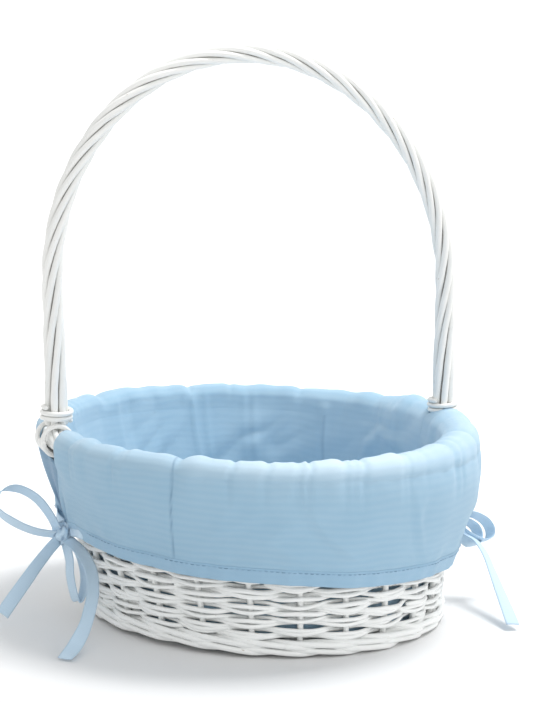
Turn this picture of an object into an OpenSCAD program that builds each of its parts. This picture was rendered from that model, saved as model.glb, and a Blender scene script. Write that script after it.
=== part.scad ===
// Flower girl basket: a round wicker basket with a twisted willow arch handle,
// a cloth liner turned out over the rim as a skirt, and ribbon bows under both handle feet.
// Millimetres, +Z up. The origin is on the underside, in the middle of the foot.
// The handle stands in the XZ plane, with its feet on the left (-X) and on the right (+X).

/* [Basket] */
// Radius of the foot that the basket stands on
foot_r = 102; // [98:1:104]
// Outer radius of the woven wall where it meets the rim
rim_r = 113; // [112:1:114]
// Height of the top of the rolled border
border_top = 107.5; // [107:0.5:110]
// Radius of the rolled border's section
border_tube_r = 6.5; // [6:0.1:6.6]
// Thickness of the woven wall
wall_t = 6.5; // [6:0.1:6.6]
// Number of stakes that the wall is woven on
stake_count = 24; // [16:4:28]
// Radius of one side stake
stake_r = 1.7; // [1.4:0.1:1.9]

/* [Handle] */
// Height of the middle of the handle at its top
handle_top = 310; // [290:1:330]
// Half of the distance between the handle's legs
handle_half_w = 115; // [114.5:0.5:116]
// Height where the straight legs turn into the arch
arch_start = 185; // [170:1:200]
// How far the top of the arch leans to the left
handle_lean = 10; // [0:1:16]
// Length of one turn of the twist
twist_pitch = 110; // [95:1:140]

/* [Cloth] */
// Height of the skirt's lower edge
hem_z = 45; // [42:1:48]
// Outer radius of the skirt's lower edge
hem_r = 112; // [111:0.5:113]
// Depth of the stitched hem
hem_depth = 12; // [8:1:16]
// Thickness of the skirt
skirt_t = 1.5; // [1.2:0.1:1.6]
// Half of the gap in the skirt at each handle foot, in degrees
skirt_gap = 6; // [5.5:0.5:8]

/* [Ribbon] */
// Width of the ribbon
ribbon_w = 8; // [8:0.5:10]
// Thickness of the ribbon
ribbon_t = 0.8; // [0.6:0.1:1]

/* [Hidden] */

$fa = 3;
$fs = 0.6;

wicker = [0.86, 0.87, 0.86];
wicker_shade = [0.78, 0.80, 0.80];
cloth = [0.67, 0.79, 0.88];
cloth_light = [0.76, 0.86, 0.93];
ribbon_blue = [0.69, 0.79, 0.88];

// Touching solids of one body are kept this far apart, or pressed this far in
clearance = 0.1;
press = 0.4;

// Woven wall: a leaning shell between two heights
weave_z0 = 8;
weave_mid_z = 46;
weave_z1 = 84;
border_r = rim_r + 3;
border_z = border_top - border_tube_r;
wale_top = border_z - border_tube_r;
wall_foot_r = foot_r - 1;
wall_lean = (rim_r - wall_foot_r) / (wale_top - weave_z0);
function wall_outer(z) = wall_foot_r + (z - weave_z0) * wall_lean;
function wall_middle(z) = wall_outer(z) - wall_t / 2;

// Base
foot_tube_r = 4;
foot_z = 3.5;
base_r = foot_r - 9;
base_z0 = 2.5;
base_t = 5;
stick_r = 1.9;
stick_pitch = 5;
stick_inset = 2;
base_hub_r = 15;

// Liner
liner_t = 1.4;
liner_gap = 0.4;
liner_inset = 2.4;
liner_rise = 1;
liner_z0 = base_z0 + base_t + 0.6;
liner_notch_w = 26;
liner_notch_z = 90;
liner_notch_depth = 30;

// Skirt and hem: where the cloth starts inside the border and leaves it outside, in degrees
crest_gap = 0.4;
crest_in = 150;
crest_out = -20;
crest_step = 10;
hem_slope = 0.2;

// Handle: straight legs, then half an ellipse, with a core, a ring of strands and a slow twist
strand_count = 6;
core_r = 2.1;
strand_ring_leg = 4.4;
strand_ring_top = 3.6;
strand_r_leg = 1.85;
strand_r_top = 1.5;
strand_foot_z = border_top + 1;
leg_h = arch_start - strand_foot_z;
arch_h = handle_top - arch_start;
arch_len = PI * (handle_half_w + arch_h) / 2;
handle_len = 2 * leg_h + arch_len;
handle_rings = 72;
strand_sides = 8;
collar_r = 8.1;
collar_tube_r = 1.5;
collar_z = border_top + 3.5;
collar_turns = 3;
lashing_r = border_tube_r + 1.8;
lashing_tube_r = 1.2;
lashing_y = 9;

// Bows: each knot hangs on the hem, under its handle foot
knot_x = 117;
knot_z = 48;
knot_r = 5.5;
knot_flat = 1;

// --- sweeping -------------------------------------------------------------
function unit(v) = v / norm(v);
function last(v) = v[len(v) - 1];

// A smooth path through hand-placed points: k steps between each pair (Catmull-Rom)
function smooth_path(p, k) = [
    for (i = [0 : len(p) - 2], j = [0 : k - 1])
        let (a = p[max(i - 1, 0)], b = p[i], c = p[i + 1], d = p[min(i + 2, len(p) - 1)], t = j / k)
            0.5 * (2 * b + (c - a) * t + (2 * a - 5 * b + 4 * c - d) * t * t
                + (3 * b - a - 3 * c + d) * t * t * t),
    last(p)
];
function tangent(p, i) = unit(p[min(i + 1, len(p) - 1)] - p[max(i - 1, 0)]);

// A closed solid through rings that have the same number of points each
module skin(rings) {
    n = len(rings[0]);
    m = len(rings);
    sides = [
        for (i = [0 : m - 2], j = [0 : n - 1], half = [0, 1])
            let (a = i * n + j, b = i * n + (j + 1) % n)
                half == 0 ? [a, b, b + n] : [a, b + n, a + n]
    ];
    first_cap = [for (j = [1 : n - 2]) [0, j + 1, j]];
    last_cap = [for (j = [1 : n - 2]) [(m - 1) * n, (m - 1) * n + j, (m - 1) * n + j + 1]];
    polyhedron(points = [for (r = rings) each r], faces = concat(first_cap, sides, last_cap));
}

// A flat ribbon along a path; across gives the direction of its width at both ends
module ribbon(p, across_start, across_end) {
    m = len(p) - 1;
    rings = [
        for (i = [0 : m])
            let (t = tangent(p, i),
                 a = across_start + (across_end - across_start) * i / m,
                 n = unit(cross(t, a)),
                 w = unit(cross(n, t)))
                [for (s = [[-1, -1], [-1, 1], [1, 1], [1, -1]])
                    p[i] + w * s[0] * ribbon_w / 2 + n * s[1] * ribbon_t / 2]
    ];
    skin(rings);
}

// --- basket ---------------------------------------------------------------
module foot_wale() {
    color(wicker) difference() {
        rotate_extrude() translate([foot_r - foot_tube_r, foot_z]) circle(r = foot_tube_r);
        translate([0, 0, -foot_tube_r]) cylinder(r = foot_r + foot_tube_r, h = foot_tube_r);
    }
}

module base_sticks(turn) {
    color(wicker_shade) rotate([0, 0, turn])
        for (k = [-1 : 1])
            translate([stick_inset - base_r, k * stick_pitch, base_z0 + base_t / 2])
                rotate([0, 90, 0]) cylinder(r = stick_r, h = 2 * (base_r - stick_inset));
}

module base_weave() {
    color(wicker_shade) rotate_extrude()
        translate([base_hub_r, base_z0]) square([base_r - base_hub_r, base_t]);
}

module side_stakes() {
    lean = atan(wall_lean);
    color(wicker)
        for (k = [0 : stake_count - 1])
            rotate([0, 0, (k + 0.5) * 360 / stake_count])
                translate([wall_middle(foot_z), 0, foot_z])
                    rotate([0, lean, 0]) cylinder(r = stake_r, h = border_z - foot_z);
}

module woven_band(z0, z1) {
    color(wicker) rotate_extrude() polygon([
        [wall_outer(z0) - wall_t, z0], [wall_outer(z0), z0],
        [wall_outer(z1), z1], [wall_outer(z1) - wall_t, z1]
    ]);
}

module top_wale() {
    z = (weave_z1 + wale_top) / 2;
    tube = (wale_top - weave_z1) / 4;
    color(wicker) rotate_extrude() {
        translate([wall_middle(z), z - tube]) circle(r = tube + press);
        translate([wall_middle(z), z + tube - press]) circle(r = tube + press);
        translate([wall_middle(z) - wall_t / 2, weave_z1]) square([wall_t, wale_top - weave_z1]);
    }
}

module rolled_border() {
    color(wicker) rotate_extrude() translate([border_r, border_z]) circle(r = border_tube_r);
}

// --- handle ---------------------------------------------------------------
// Position along the handle, from the left foot over the top to the right foot
function arch_point(a) = [-handle_half_w * cos(a), 0, arch_start + arch_h * sin(a)];
function handle_plain(s) =
    s < leg_h ? [-handle_half_w, 0, strand_foot_z + s]
    : s > leg_h + arch_len ? [handle_half_w, 0, strand_foot_z + handle_len - s]
    : arch_point((s - leg_h) / arch_len * 180);
function lean_at(z) = handle_lean * pow((z - strand_foot_z) / (handle_top - strand_foot_z), 1.2);
function handle_point(s) = let (p = handle_plain(s)) p - [lean_at(p[2]), 0, 0];
// The twist is slow in the legs and even over the arch
function turns_in_leg(s) = s * s / (2 * leg_h) / twist_pitch;
function turns_at(s) =
    s < leg_h ? turns_in_leg(s)
    : s > leg_h + arch_len
        ? turns_in_leg(leg_h) + arch_len / twist_pitch + turns_in_leg(leg_h)
            - turns_in_leg(handle_len - s)
    : turns_in_leg(leg_h) + (s - leg_h) / twist_pitch;
function rise_at(s) = sin(180 * s / handle_len);
function strand_ring(s) = strand_ring_leg + (strand_ring_top - strand_ring_leg) * rise_at(s);
function strand_size(s) = strand_r_leg + (strand_r_top - strand_r_leg) * rise_at(s);
handle_path = [for (i = [0 : handle_rings]) handle_point(handle_len * i / handle_rings)];

// A round ring of points across a path in the XZ plane, moved off it by a radius and an angle
function round_ring(path, i, off, angle, r) =
    let (t = tangent(path, i), y = [0, 1, 0], n = unit(cross(y, t)),
         c = path[i] + off * (n * cos(angle) + y * sin(angle)))
        [for (j = [0 : strand_sides - 1])
            let (q = j * 360 / strand_sides) c + r * (n * cos(q) + y * sin(q))];

// The core goes on down through the border and into the wall beside a stake
core_foot = [for (z = [weave_mid_z, (weave_mid_z + wale_top) / 2, wale_top]) [wall_middle(z), 0, z]];
core_path = concat(
    [for (p = core_foot) [-p[0], 0, p[2]]], handle_path,
    [for (i = [len(core_foot) - 1 : -1 : 0]) core_foot[i]]);

module handle_core() {
    color(wicker_shade)
        skin([for (i = [0 : len(core_path) - 1]) round_ring(core_path, i, 0, 0, core_r)]);
}

module handle_strand(k) {
    color(wicker) skin([
        for (i = [0 : handle_rings])
            let (s = handle_len * i / handle_rings)
                round_ring(handle_path, i, strand_ring(s),
                    k * 360 / strand_count + 360 * turns_at(s), strand_size(s))
    ]);
}

module handle_collar(side) {
    color(wicker) translate([side * handle_half_w, 0, collar_z])
        for (k = [0 : collar_turns - 1])
            translate([0, 0, k * 2 * (collar_tube_r + clearance)])
                rotate_extrude() translate([collar_r, 0]) circle(r = collar_tube_r);
}

module handle_lashing(side) {
    color(wicker)
        for (y = [-lashing_y, lashing_y])
            translate([side * border_r, y, border_z]) rotate([90, 0, 0])
                rotate_extrude() translate([lashing_r, 0]) circle(r = lashing_tube_r);
}

// --- cloth ----------------------------------------------------------------
module liner_base() {
    color(cloth) translate([0, 0, liner_z0])
        cylinder(r = wall_outer(liner_z0) - wall_t - 2 * liner_gap, h = liner_t);
}

module liner_wall() {
    z0 = liner_z0 + liner_t + clearance;
    z1 = border_top + liner_rise;
    r0 = wall_outer(z0) - wall_t - liner_gap;
    r1 = border_r - border_tube_r - liner_gap - liner_inset;
    color(cloth) difference() {
        rotate_extrude() polygon([[r0 - liner_t, z0], [r0, z0], [r1, z1], [r1 - liner_t, z1]]);
        for (side = [-1, 1])
            translate([side * border_r - liner_notch_depth / 2, -liner_notch_w / 2, liner_notch_z])
                cube([liner_notch_depth, liner_notch_w, border_top]);
    }
}

// Half of the skirt: it turns over the border and falls to the hem
module skirt(start) {
    r_in = border_tube_r + crest_gap;
    r_out = r_in + skirt_t;
    over = [for (a = [crest_in : -crest_step : crest_out]) a];
    outer = [for (a = over) [border_r + r_out * cos(a), border_z + r_out * sin(a)]];
    inner = [for (a = over) [border_r + r_in * cos(a), border_z + r_in * sin(a)]];
    z = hem_z + hem_depth;
    r = hem_r + (last(outer)[0] - hem_r) * hem_depth / (last(outer)[1] - hem_z);
    half = concat(outer, [[r, z], [r - skirt_t, z]],
        [for (i = [len(inner) - 1 : -1 : 0]) inner[i]]);
    color(cloth_light) rotate([0, 0, start + skirt_gap])
        rotate_extrude(angle = 180 - 2 * skirt_gap) polygon(half);
}

module hem(start) {
    top_r = hem_r + hem_depth * hem_slope;
    top_z = hem_z + hem_depth - clearance;
    color(cloth_light) rotate([0, 0, start + skirt_gap])
        rotate_extrude(angle = 180 - 2 * skirt_gap) polygon([
            [hem_r - 2 * skirt_t, hem_z], [hem_r, hem_z],
            [top_r, top_z], [top_r - 2 * skirt_t, top_z]
        ]);
}

// --- bows -----------------------------------------------------------------
module knot(side) {
    color(ribbon_blue) translate([side * knot_x, 0, knot_z]) intersection() {
        sphere(r = knot_r);
        cube(2 * [knot_r - knot_flat, knot_r, knot_r - knot_flat], center = true);
    }
}

// The short end that comes from the hem to the knot, in front (-1) or behind (1)
module tie(side, where) {
    p = [[112.8, 18, 50], [114.8, 12.5, 49], [116.5, 6.5, 48]];
    route = [for (q = p) [side * q[0], where * q[1], q[2]]];
    color(ribbon_blue) ribbon(smooth_path(route, 3), [0, 0, 1], [0, 0, 1]);
}

left_outer_loop_points = [
    [-123, 4, 52], [-129, 9, 62], [-138, 14, 69], [-148, 18, 69], [-154, 20, 61],
    [-149, 18, 53], [-139, 14, 49], [-130, 9, 47], [-124, 5, 47]
];
left_hanging_loop_points = [
    [-119, 2, 42], [-118.5, 2, 33], [-115, 1, 22], [-111.5, 0, 15], [-108.5, 0, 17],
    [-109.5, 1, 26], [-112, 1, 34], [-114.5, 2, 41]
];
left_front_tail_points = [
    [-118, -10, 43], [-115, -15, 39], [-110, -21, 30], [-107, -28, 18],
    [-109, -40, 10], [-116, -52, 5], [-124, -61, 2], [-133, -69, 1.2]
];
left_outer_tail_points = [
    [-122, 4, 41], [-127, 6, 33], [-135, 8, 21], [-142, 9, 10], [-149, 10, 3]
];
right_upper_loop_points = [
    [123, -6, 52], [129, -9, 56], [136, -12, 56], [143, -14, 50], [143, -14, 42],
    [137, -12, 38], [129, -9, 41], [123, -6, 45]
];
right_lower_loop_points = [
    [123, 6, 52], [128, 9, 55], [134, 12, 53], [137, 13, 46], [136, 13, 37],
    [132, 12, 33], [127, 9, 36], [123, 6, 43]
];
right_front_tail_points = [
    [119, -10, 40], [124, -21, 36], [129, -36, 28], [131, -50, 18], [131, -63, 9], [130, -74, 5]
];
right_back_tail_points = [
    [116, 13, 40], [119, 23, 35], [122, 35, 25], [123, 47, 13], [125, 58, 4]
];

module loop_ribbon(points, start_dir, end_dir) {
    color(ribbon_blue) ribbon(smooth_path(points, 4), start_dir, end_dir);
}

foot_wale();
base_sticks(0);  // base_sticks_x
base_sticks(90);  // base_sticks_y
base_weave();
side_stakes();
woven_band(weave_z0, weave_mid_z);  // lower_weave
woven_band(weave_mid_z, weave_z1);  // upper_weave
top_wale();
rolled_border();
handle_core();
for (k = [1 : strand_count])
    handle_strand(k);
handle_collar(-1);  // handle_collar_left
handle_collar(1);  // handle_collar_right
handle_lashing(-1);  // handle_lashing_left
handle_lashing(1);  // handle_lashing_right
liner_base();
liner_wall();
skirt(180);  // skirt_front
skirt(0);  // skirt_back
hem(180);  // hem_front
hem(0);  // hem_back
knot(-1);  // left_knot
loop_ribbon(left_outer_loop_points, [0.2, 1, 0], [0.2, 1, 0]);  // left_outer_loop
loop_ribbon(left_hanging_loop_points, [0, 1, 0], [0, 1, 0]);  // left_hanging_loop
tie(-1, -1);  // left_tie_front
tie(-1, 1);  // left_tie_back
loop_ribbon(left_front_tail_points, [0.1, -1, 0], [0.65, -0.75, 0]);  // left_front_tail
loop_ribbon(left_outer_tail_points, [0, 1, 0], [0, 1, 0]);  // left_outer_tail
knot(1);  // right_knot
loop_ribbon(right_upper_loop_points, [0.3, 1, 0], [0.3, 1, 0]);  // right_upper_loop
loop_ribbon(right_lower_loop_points, [-0.3, 1, 0], [-0.3, 1, 0]);  // right_lower_loop
tie(1, -1);  // right_tie_front
tie(1, 1);  // right_tie_back
loop_ribbon(right_front_tail_points, [0, -0.5, 0.8], [0.8, -0.3, 0.5]);  // right_front_tail
loop_ribbon(right_back_tail_points, [0, 0.5, 0.8], [0, 0.5, 0.8]);  // right_back_tail
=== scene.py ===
"""A flower girl basket: woven willow with a twisted arch handle, a cloth liner turned out over
the rim, and a ribbon bow under each foot of the handle."""
import math

import bpy
import numpy as np
from mathutils import Matrix, Vector


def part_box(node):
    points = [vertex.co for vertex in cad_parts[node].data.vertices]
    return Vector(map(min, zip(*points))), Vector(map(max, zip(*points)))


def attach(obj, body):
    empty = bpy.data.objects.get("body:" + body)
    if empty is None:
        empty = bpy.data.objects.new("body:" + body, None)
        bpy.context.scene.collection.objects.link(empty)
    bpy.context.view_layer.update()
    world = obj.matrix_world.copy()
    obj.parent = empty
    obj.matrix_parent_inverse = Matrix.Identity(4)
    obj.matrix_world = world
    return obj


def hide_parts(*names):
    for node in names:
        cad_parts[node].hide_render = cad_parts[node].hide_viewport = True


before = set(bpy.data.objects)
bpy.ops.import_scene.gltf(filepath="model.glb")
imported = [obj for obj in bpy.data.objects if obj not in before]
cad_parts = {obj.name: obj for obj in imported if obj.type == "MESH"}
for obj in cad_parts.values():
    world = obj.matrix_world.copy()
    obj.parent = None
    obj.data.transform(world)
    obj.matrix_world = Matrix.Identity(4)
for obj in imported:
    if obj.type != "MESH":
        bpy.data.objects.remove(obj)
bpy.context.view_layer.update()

TAU = 2 * np.pi
MM = 0.001

# Rods and the wall, in CAD's own measures
STAKES = 24
STAKE_R = 1.7 * MM
WALL_T = 6.5 * MM
CORE_R = 2.1 * MM
COLLAR_OUTER_R = 9.6 * MM

# --- sizes taken from the parts ---

FOOT_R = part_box("foot_wale")[1].x
WEAVE_Z0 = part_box("lower_weave")[0].z
WEAVE_Z1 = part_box("upper_weave")[1].z
WALE_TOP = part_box("top_wale")[1].z
BORDER_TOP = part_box("rolled_border")[1].z
BORDER_TUBE = (BORDER_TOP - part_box("rolled_border")[0].z) / 2
BORDER_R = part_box("rolled_border")[1].x - BORDER_TUBE
BORDER_Z = BORDER_TOP - BORDER_TUBE
LOWER_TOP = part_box("lower_weave")[1].z
WALL_RIM_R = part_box("upper_weave")[1].x
HEM_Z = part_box("hem_front")[0].z
LINER_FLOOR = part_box("liner_base")
STRAND_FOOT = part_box("handle_strand_1")[0].z
HANDLE_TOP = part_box("handle_core")[1].z - CORE_R
HANDLE_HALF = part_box("handle_collar_right")[1].x - COLLAR_OUTER_R

# The basket is woven by hand: its foot has crept sideways and its skirt hangs lower there.
SIDEWAYS = math.radians(-18.4)
FOOT_CREEP = 9 * MM
LEFT = -1
RIGHT = 1


# --- numbers ---

def ease(x, low, high):
    """0 below low, 1 above high, and 3t^2 - 2t^3 between them."""
    t = np.clip((x - low) / (high - low), 0, 1)
    return t * t * (3 - 2 * t)


def unit(v):
    """Vectors of length one."""
    return v / np.maximum(np.linalg.norm(v, axis=-1, keepdims=True), 1e-12)


def ripple(angle, orders, seed):
    """A closed wave round the basket: cosines of whole orders with random phases, about 1 high."""
    rng = np.random.default_rng(seed)
    wave = np.zeros_like(angle)
    for order in orders:
        wave += np.cos(order * angle + rng.uniform(0, TAU)) * rng.uniform(0.6, 1.0)
    return wave / math.sqrt(len(orders))


def pinches(angle, count, width, seed):
    """Narrow dents round the basket: a sum of bell curves at random places, each up to 1 deep."""
    rng = np.random.default_rng(seed)
    total = np.zeros_like(angle)
    for _ in range(count):
        off = np.mod(angle - rng.uniform(0, TAU) + math.pi, TAU) - math.pi
        total += rng.uniform(0.3, 1.0) * np.exp(-(off / (width * rng.uniform(0.7, 1.7))) ** 2)
    return total


def creases(across, down, count, size, seed, box):
    """Soft folds in cloth: short curved ridges with a hollow beside each, at random slants.

    Along a ridge its height falls off as a bell curve of its length, and across it as one of
    its width. box is (lowest across, highest across, lowest down, highest down).
    """
    rng = np.random.default_rng(seed)
    total = np.zeros(np.broadcast(across, down).shape)
    for _ in range(count):
        x, y = across - rng.uniform(box[0], box[1]), down - rng.uniform(box[2], box[3])
        slant = rng.uniform(0.25, 1.25) * rng.choice((-1, 1))
        along = x * math.cos(slant) + y * math.sin(slant)
        wide = size * rng.uniform(0.6, 1.5)
        off = -x * math.sin(slant) + y * math.cos(slant) + rng.uniform(-8, 8) * along ** 2
        ridge = np.exp(-(off / wide) ** 2) - 0.6 * np.exp(-((off - 1.9 * wide) / (1.3 * wide)) ** 2)
        total += rng.uniform(0.4, 1.0) * ridge * np.exp(-(along / (size * rng.uniform(3, 7))) ** 2)
    return total


def polar(angle, r, z):
    """Points at an angle round the basket, a distance from its middle line and a height."""
    angle, r, z = np.broadcast_arrays(angle, r, z)
    return np.stack([r * np.cos(angle), r * np.sin(angle), z], axis=-1)


def outward(angle):
    """The level direction away from the basket's middle line."""
    return polar(angle, np.ones_like(angle), np.zeros_like(angle))


def crept(points):
    """Moves what is low sideways: the full creep at the foot, and none at the rim."""
    points = points.copy()
    amount = FOOT_CREEP * (1 - ease(points[..., 2], 0.0, BORDER_Z))
    points[..., 0] += amount * math.cos(SIDEWAYS)
    points[..., 1] += amount * math.sin(SIDEWAYS)
    return points


def smooth_path(knots, steps):
    """A Catmull-Rom curve through the knots, with so many steps between each pair."""
    p = np.asarray(knots, float)
    p = np.concatenate([2 * p[:1] - p[1:2], p, 2 * p[-1:] - p[-2:-1]])
    t = (np.arange(steps) / steps)[None, :, None]
    a, b, c, d = (p[i: len(p) - 3 + i, None, :] for i in range(4))
    curve = 0.5 * (2 * b + (c - a) * t + (2 * a - 5 * b + 4 * c - d) * t ** 2
                   + (3 * b - a - 3 * c + d) * t ** 3)
    return np.concatenate([curve.reshape(-1, p.shape[1]), p[-2:-1]])


# --- meshes ---

def make_piece(name, points, faces, uv, tones, body, nodes, material, painted_lights=None):
    """One object at the origin from points, faces and a UV pair for each corner of each face."""
    mesh = bpy.data.meshes.new(name)
    mesh.from_pydata(np.asarray(points, float).tolist(), [], faces)
    mesh.uv_layers.new(name="UVMap").data.foreach_set("uv", np.asarray(uv, np.float32).ravel())
    # tone is each rod's own colour, or on cloth darker seams and edges with painted shade; the other
    # attribute is painted light.
    for label, values in (("tone", tones), ("painted_light", painted_lights)):
        if values is not None:
            data = mesh.attributes.new(label, "FLOAT", "POINT").data
            data.foreach_set("value", np.asarray(values, np.float32).ravel())
    mesh.polygons.foreach_set("use_smooth", [True] * len(mesh.polygons))
    mesh.materials.append(material)
    mesh.update()
    piece = bpy.data.objects.new(name, mesh)
    bpy.context.collection.objects.link(piece)
    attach(piece, body)
    if nodes:
        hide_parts(*nodes)
    return piece


def rod_mesh(paths, radii, up, sides):
    """Round rods along paths: each ring is path + radius * (cos q * normal + sin q * side).

    paths is (rods, steps, 3), radii (rods, steps) and up (rods, steps, 3). Both ends get a
    low dome with a pole.
    """
    along = unit(np.gradient(paths, axis=1))
    side = unit(np.cross(along, up))
    normal = np.cross(side, along)
    rods, steps = radii.shape
    q = np.arange(sides) * TAU / sides
    ring = (np.cos(q)[:, None] * normal[:, :, None, :] + np.sin(q)[:, None] * side[:, :, None, :])
    skin = paths[:, :, None, :] + radii[:, :, None, None] * ring
    ends = np.stack([paths[:, 0] - 0.4 * radii[:, :1] * along[:, 0],
                     paths[:, -1] + 0.4 * radii[:, -1:] * along[:, -1]], axis=1)
    points = np.concatenate([skin.reshape(rods, -1, 3), ends], axis=1)
    per_rod = steps * sides + 2
    i, j = np.meshgrid(np.arange(steps - 1), np.arange(sides), indexing="ij")
    i, j = i.ravel(), j.ravel()
    j2 = (j + 1) % sides
    quads = np.stack([i * sides + j, i * sides + j2, (i + 1) * sides + j2, (i + 1) * sides + j], 1)
    k = np.arange(sides)
    first = np.stack([np.full(sides, steps * sides), (k + 1) % sides, k], 1)
    base = (steps - 1) * sides
    last = np.stack([np.full(sides, steps * sides + 1), base + k, base + (k + 1) % sides], 1)
    shift = (np.arange(rods) * per_rod)[:, None, None]
    faces = (quads + shift).reshape(-1, 4).tolist()
    faces += (np.concatenate([first, last]) + shift).reshape(-1, 3).tolist()
    length = np.concatenate([np.zeros((rods, 1)), np.cumsum(
        np.linalg.norm(np.diff(paths, axis=1), axis=-1), axis=1)], axis=1)
    length += np.random.default_rng(rods).uniform(0, 5, (rods, 1))
    girth = TAU * radii.mean() / sides
    corner_i = np.stack([i, i, i + 1, i + 1], 1)
    corner_j = np.stack([j, j + 1, j + 1, j], 1)
    uv_quads = np.stack([length[:, corner_i], np.broadcast_to(corner_j * girth,
                        (rods,) + corner_j.shape)], axis=-1).reshape(-1, 2)
    caps = np.zeros((rods, 2 * sides, 3, 2))
    caps[..., 0] = length[:, :1, None]
    return points.reshape(-1, 3), faces, np.concatenate([uv_quads, caps.reshape(-1, 2)]), per_rod


def make_rods(name, paths, radii, up, nodes, material, sides=8, seed=1, creep=True):
    """A piece of many rods on the basket, each with its own tone, tapered at its ends."""
    paths = np.asarray(paths, float)
    if creep:
        paths = crept(paths)
    radii = np.broadcast_to(radii, paths.shape[:2]).copy()
    radii[:, 0] *= 0.75
    radii[:, -1] *= 0.75
    points, faces, uv, per_rod = rod_mesh(paths, radii, np.broadcast_to(up, paths.shape), sides)
    tones = np.repeat(np.random.default_rng(seed).uniform(0, 1, len(paths)), per_rod)
    return make_piece(name, points, faces, uv, tones, "basket", nodes, material)


def make_cloth(name, grid, uv, body, nodes, material, thickness, closed=False, tone=None,
               painted_light=None):
    """A sheet through a grid of points, with its thickness given to its inner side."""
    rows, columns = grid.shape[:2]
    wraps = columns if closed else columns - 1
    i, j = np.meshgrid(np.arange(rows - 1), np.arange(wraps), indexing="ij")
    i, j = i.ravel(), j.ravel()
    j2 = (j + 1) % columns
    faces = np.stack([i * columns + j, i * columns + j2, (i + 1) * columns + j2,
                      (i + 1) * columns + j], 1)
    corner_i = np.stack([i, i, i + 1, i + 1], 1)
    corner_j = np.stack([j, j + 1, j + 1, j], 1)
    if closed:
        uv = np.concatenate([uv, uv[:, :1] + (uv[:, -1:] - uv[:, -2:-1])
                             + (uv[:, -1:] - uv[:, :1])], axis=1)
    tone, painted_light = (np.ravel(np.broadcast_to(0.0 if v is None else v, (rows, columns)))
                  for v in (tone, painted_light))
    piece = make_piece(name, grid.reshape(-1, 3), faces.tolist(),
                       uv[corner_i, corner_j].reshape(-1, 2), tone, body, nodes, material, painted_light)
    solid = piece.modifiers.new("cloth thickness", "SOLIDIFY")
    solid.thickness = thickness
    solid.offset = -1
    return piece


# --- materials ---

def new_node(tree, kind, inputs=None, **settings):
    """A node with its settings and the values or links of its inputs."""
    node = tree.nodes.new(kind)
    for key, value in settings.items():
        setattr(node, key, value)
    for key, value in (inputs or {}).items():
        if isinstance(value, bpy.types.NodeSocket):
            tree.links.new(value, node.inputs[key])
        else:
            node.inputs[key].default_value = value
    return node


def maths(tree, operation, a, b=0.0, c=0.0):
    """The output of one Math node."""
    return new_node(tree, "ShaderNodeMath", {0: a, 1: b, 2: c}, operation=operation).outputs[0]


def mixed(tree, factor, a, b):
    """The output of a colour mix."""
    node = new_node(tree, "ShaderNodeMix", data_type="RGBA")
    for socket, value in ((node.inputs[0], factor), (node.inputs[6], a), (node.inputs[7], b)):
        if isinstance(value, bpy.types.NodeSocket):
            tree.links.new(value, socket)
        else:
            socket.default_value = value
    return node.outputs[2]


def new_group(name, inputs, outputs):
    """A shader node group with named float, vector or colour sockets."""
    group = bpy.data.node_groups.new(name, "ShaderNodeTree")
    kinds = {"float": "NodeSocketFloat", "vector": "NodeSocketVector", "colour": "NodeSocketColor"}
    for label, kind, value in inputs:
        socket = group.interface.new_socket(label, in_out="INPUT", socket_type=kinds[kind])
        if value is not None:
            socket.default_value = value
    for label, kind in outputs:
        group.interface.new_socket(label, in_out="OUTPUT", socket_type=kinds[kind])
    return group, group.nodes.new("NodeGroupInput"), group.nodes.new("NodeGroupOutput")


def grain_group():
    """Willow grain: noise drawn out along the rod, fine streaks and a slower mottle."""
    group, given, out = new_group(
        "willow grain",
        [("Along", "float", 60.0), ("Across", "float", 1400.0)],
        [("Streaks", "float"), ("Mottle", "float"), ("Chips", "float")])
    uv = new_node(group, "ShaderNodeUVMap", uv_map="UVMap").outputs[0]
    tone = new_node(group, "ShaderNodeAttribute", attribute_name="tone").outputs["Fac"]
    parts = new_node(group, "ShaderNodeSeparateXYZ", {0: uv})
    u = maths(group, "MULTIPLY", parts.outputs[0], given.outputs["Along"])
    v = maths(group, "MULTIPLY", parts.outputs[1], given.outputs["Across"])
    w = maths(group, "MULTIPLY", tone, 17.0)
    place = new_node(group, "ShaderNodeCombineXYZ", {0: u, 1: v, 2: w}).outputs[0]
    streaks = new_node(group, "ShaderNodeTexNoise", {"Vector": place, "Scale": 1.0, "Detail": 3.0})
    slow = new_node(group, "ShaderNodeCombineXYZ", {
        0: maths(group, "MULTIPLY", parts.outputs[0], 70.0),
        1: maths(group, "MULTIPLY", parts.outputs[1], 160.0), 2: w}).outputs[0]
    mottle = new_node(group, "ShaderNodeTexNoise", {"Vector": slow, "Scale": 1.0, "Detail": 2.0})
    chip_place = new_node(group, "ShaderNodeCombineXYZ", {
        0: maths(group, "MULTIPLY", parts.outputs[0], 180.0),
        1: maths(group, "MULTIPLY", parts.outputs[1], 900.0), 2: w}).outputs[0]
    chip_noise = new_node(group, "ShaderNodeTexNoise",
                          {"Vector": chip_place, "Scale": 1.0, "Detail": 4.0})
    chips = new_node(group, "ShaderNodeMapRange", {
        0: chip_noise.outputs["Fac"], 1: 0.70, 2: 0.76, 3: 0.0, 4: 1.0})
    group.links.new(streaks.outputs["Fac"], out.inputs["Streaks"])
    group.links.new(mottle.outputs["Fac"], out.inputs["Mottle"])
    group.links.new(chips.outputs[0], out.inputs["Chips"])
    return group


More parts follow.
